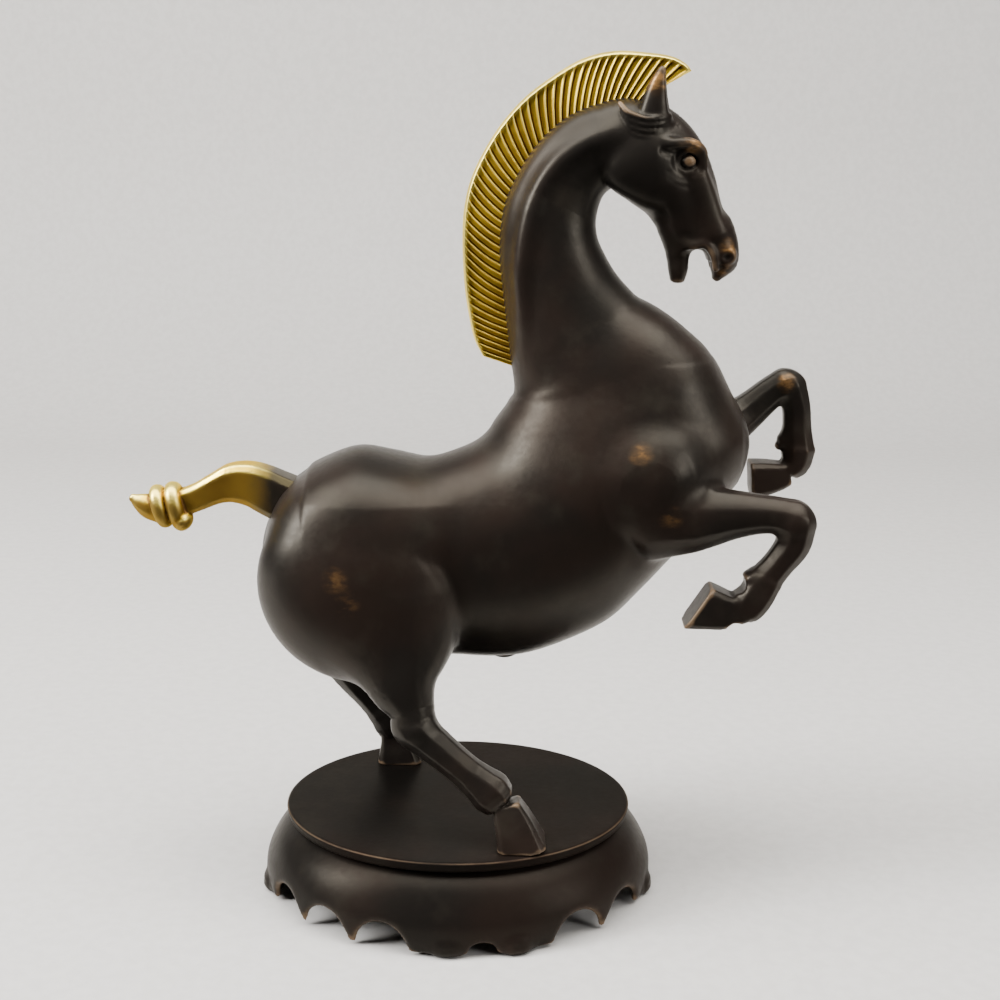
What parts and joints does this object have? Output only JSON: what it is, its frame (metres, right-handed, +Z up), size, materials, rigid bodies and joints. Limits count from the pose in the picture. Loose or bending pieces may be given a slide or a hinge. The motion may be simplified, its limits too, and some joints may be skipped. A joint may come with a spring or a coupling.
{
  "type": "horse statuette",
  "caption": "Cast bronze statuette of a rearing horse with a gilt ribbed mane comb and knotted tail, on an oval plate over a flared stand with scroll feet.",
  "frame": {"origin": "below the middle of the whole figure's bounding box, on the surface that the four scroll feet rest on", "axes": "+Z up, +X the way the horse faces, +Y to the horse's left"},
  "size_m": [0.192, 0.0962, 0.2321],
  "materials": {
    "patinated_bronze": "dark brown chemical patina over cast bronze, satin, worn to warm metal on the high spots",
    "gilt_bronze": "worn gilding on cast bronze, satin, brown in the recesses",
    "steel": "plain turned steel"
  },
  "bodies": {
    "root": {"body_casting": "patinated_bronze", "belly_plug": "patinated_bronze", "right_foreleg": "patinated_bronze", "left_foreleg": "patinated_bronze", "right_hind_leg": "patinated_bronze", "left_hind_leg": "patinated_bronze", "base_plate": "patinated_bronze", "stand": "patinated_bronze", "mane_comb": "gilt_bronze", "tail": "gilt_bronze", "hoof_screws": "steel", "hoof_washers": "steel", "plate_screws": "steel"}
  },
  "joints": []
}
